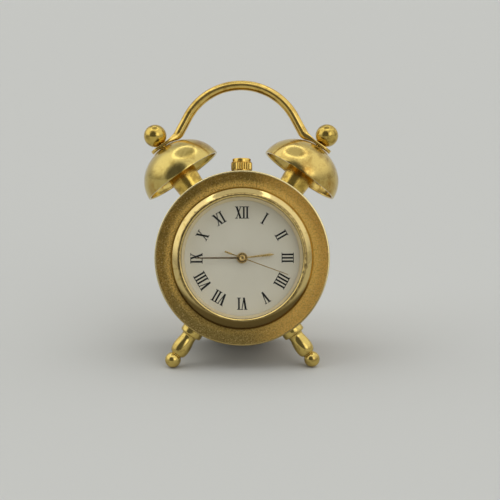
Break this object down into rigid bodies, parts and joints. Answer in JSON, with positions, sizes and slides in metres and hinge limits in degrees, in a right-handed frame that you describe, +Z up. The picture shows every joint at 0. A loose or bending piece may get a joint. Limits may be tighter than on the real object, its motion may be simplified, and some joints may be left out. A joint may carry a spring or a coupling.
{
  "type": "miniature alarm clock",
  "caption": "Miniature twin-bell alarm clock: leaning brass drum case on turned feet with bells, ball knobs, arched wire handle, Roman dial, three hands and a small quartz movement inside.",
  "frame": {"origin": "middle of the clock's box, on the table it stands on", "axes": "+Z up, +X to the right of the dial as it is read, +Y from the dial towards the back; the dial leans back by 15.9 degrees"},
  "size_m": [0.0492, 0.0364, 0.0669],
  "materials": {
    "sanded_brass": "fine sanded, antiqued",
    "polished_brass": "polished with patina",
    "satin_brass": "satin",
    "gilt_hands": "polished gilt",
    "cream_dial": "matt cream",
    "crystal_glass": "clear",
    "movement_brass": "bright",
    "movement_steel": "bright",
    "holder_plastic": "moulded grey",
    "coil_copper": "lacquered copper winding",
    "circuit_board": "green laminate"
  },
  "bodies": {
    "case": {"case_drum": "sanded_brass", "bezel": "polished_brass", "crystal": "crystal_glass", "dial": "cream_dial", "back_cover": "satin_brass", "bell_left": "polished_brass", "bell_right": "polished_brass", "bell_post_left": "satin_brass", "bell_post_right": "satin_brass", "handle": "polished_brass", "knob_left": "polished_brass", "knob_right": "polished_brass", "foot_left": "polished_brass", "foot_right": "polished_brass", "movement_holder": "holder_plastic", "main_plate": "holder_plastic", "train_bridge": "movement_steel", "bridge_screw_1": "movement_steel", "bridge_screw_2": "movement_steel", "bridge_screw_3": "movement_steel", "stator": "movement_steel", "coil": "coil_copper", "circuit_board": "circuit_board", "quartz_can": "movement_steel", "battery": "movement_steel", "battery_clip": "movement_steel"},
    "minute_hand": {"minute_hand": "gilt_hands", "cannon_pinion": "movement_steel"},
    "hour_hand": {"hour_hand": "gilt_hands", "hour_wheel": "movement_brass"},
    "minute_wheel": {"minute_wheel": "movement_brass"},
    "setting_wheel": {"setting_wheel": "movement_steel"},
    "second_hand": {"second_hand": "gilt_hands", "second_wheel": "movement_brass"},
    "third_wheel": {"third_wheel": "movement_brass"},
    "centre_wheel": {"centre_wheel": "movement_brass"},
    "intermediate_wheel": {"intermediate_wheel": "movement_brass"},
    "rotor": {"rotor": "movement_steel"},
    "clutch_pinion": {"clutch_pinion": "movement_steel"},
    "crown": {"crown": "polished_brass", "stem": "movement_steel"},
    "setting_lever": {"setting_lever": "movement_steel"}
  },
  "joints": [
    {"name": "minute_spin", "type": "hinge", "parent": "case", "child": "minute_hand", "pos_m": [0, -0.00965, 0.02595], "axis": [0, 0.9619, -0.2735], "continuous": true},
    {"name": "hour_spin", "type": "hinge", "parent": "case", "child": "hour_hand", "pos_m": [0, -0.00965, 0.02595], "axis": [0, 0.9619, -0.2735], "continuous": true},
    {"name": "minute_wheel_spin", "type": "hinge", "parent": "case", "child": "minute_wheel", "pos_m": [0.00276, -0.00901, 0.02817], "axis": [0, 0.9619, -0.2735], "continuous": true},
    {"name": "setting_wheel_spin", "type": "hinge", "parent": "case", "child": "setting_wheel", "pos_m": [0, -0.0082, 0.03103], "axis": [0, 0.9619, -0.2735], "continuous": true},
    {"name": "second_spin", "type": "hinge", "parent": "case", "child": "second_hand", "pos_m": [0, -0.00965, 0.02595], "axis": [0, 0.9619, -0.2735], "continuous": true},
    {"name": "third_wheel_spin", "type": "hinge", "parent": "case", "child": "third_wheel", "pos_m": [-0.00304, -0.00917, 0.02763], "axis": [0, 0.9619, -0.2735], "continuous": true},
    {"name": "centre_wheel_spin", "type": "hinge", "parent": "case", "child": "centre_wheel", "pos_m": [0, -0.00965, 0.02595], "axis": [0, 0.9619, -0.2735], "continuous": true},
    {"name": "intermediate_wheel_spin", "type": "hinge", "parent": "case", "child": "intermediate_wheel", "pos_m": [0.00347, -0.00999, 0.02473], "axis": [0, 0.9619, -0.2735], "continuous": true},
    {"name": "rotor_spin", "type": "hinge", "parent": "case", "child": "rotor", "pos_m": [0.00588, -0.01055, 0.02279], "axis": [0, 0.9619, -0.2735], "continuous": true},
    {"name": "crown_spin", "type": "hinge", "parent": "case", "child": "clutch_pinion", "pos_m": [0, -0.00276, 0.04613], "axis": [0, 0.2735, 0.9619], "continuous": true},
    {"name": "crown_pull", "type": "slide", "parent": "clutch_pinion", "child": "crown", "axis": [0, 0.2735, 0.9619], "range_m": [0, 0.0006]},
    {"name": "setting_lever_swing", "type": "hinge", "parent": "case", "child": "setting_lever", "pos_m": [0.00238, -0.00579, 0.03548], "axis": [0, 0.9619, -0.2735], "range_deg": [0, 14.38]}
  ],
  "couplings": [
    {"joint": "minute_wheel_spin", "follows": "minute_spin", "ratio": -0.33333},
    {"joint": "hour_spin", "follows": "minute_spin", "ratio": 0.083333},
    {"joint": "setting_wheel_spin", "follows": "minute_spin", "ratio": 0.66667},
    {"joint": "third_wheel_spin", "follows": "second_spin", "ratio": -0.13333},
    {"joint": "centre_wheel_spin", "follows": "second_spin", "ratio": 0.016667},
    {"joint": "intermediate_wheel_spin", "follows": "second_spin", "ratio": -5},
    {"joint": "rotor_spin", "follows": "second_spin", "ratio": 30},
    {"joint": "setting_lever_swing", "follows": "crown_pull", "rad_per_m": 417.76}
  ]
}
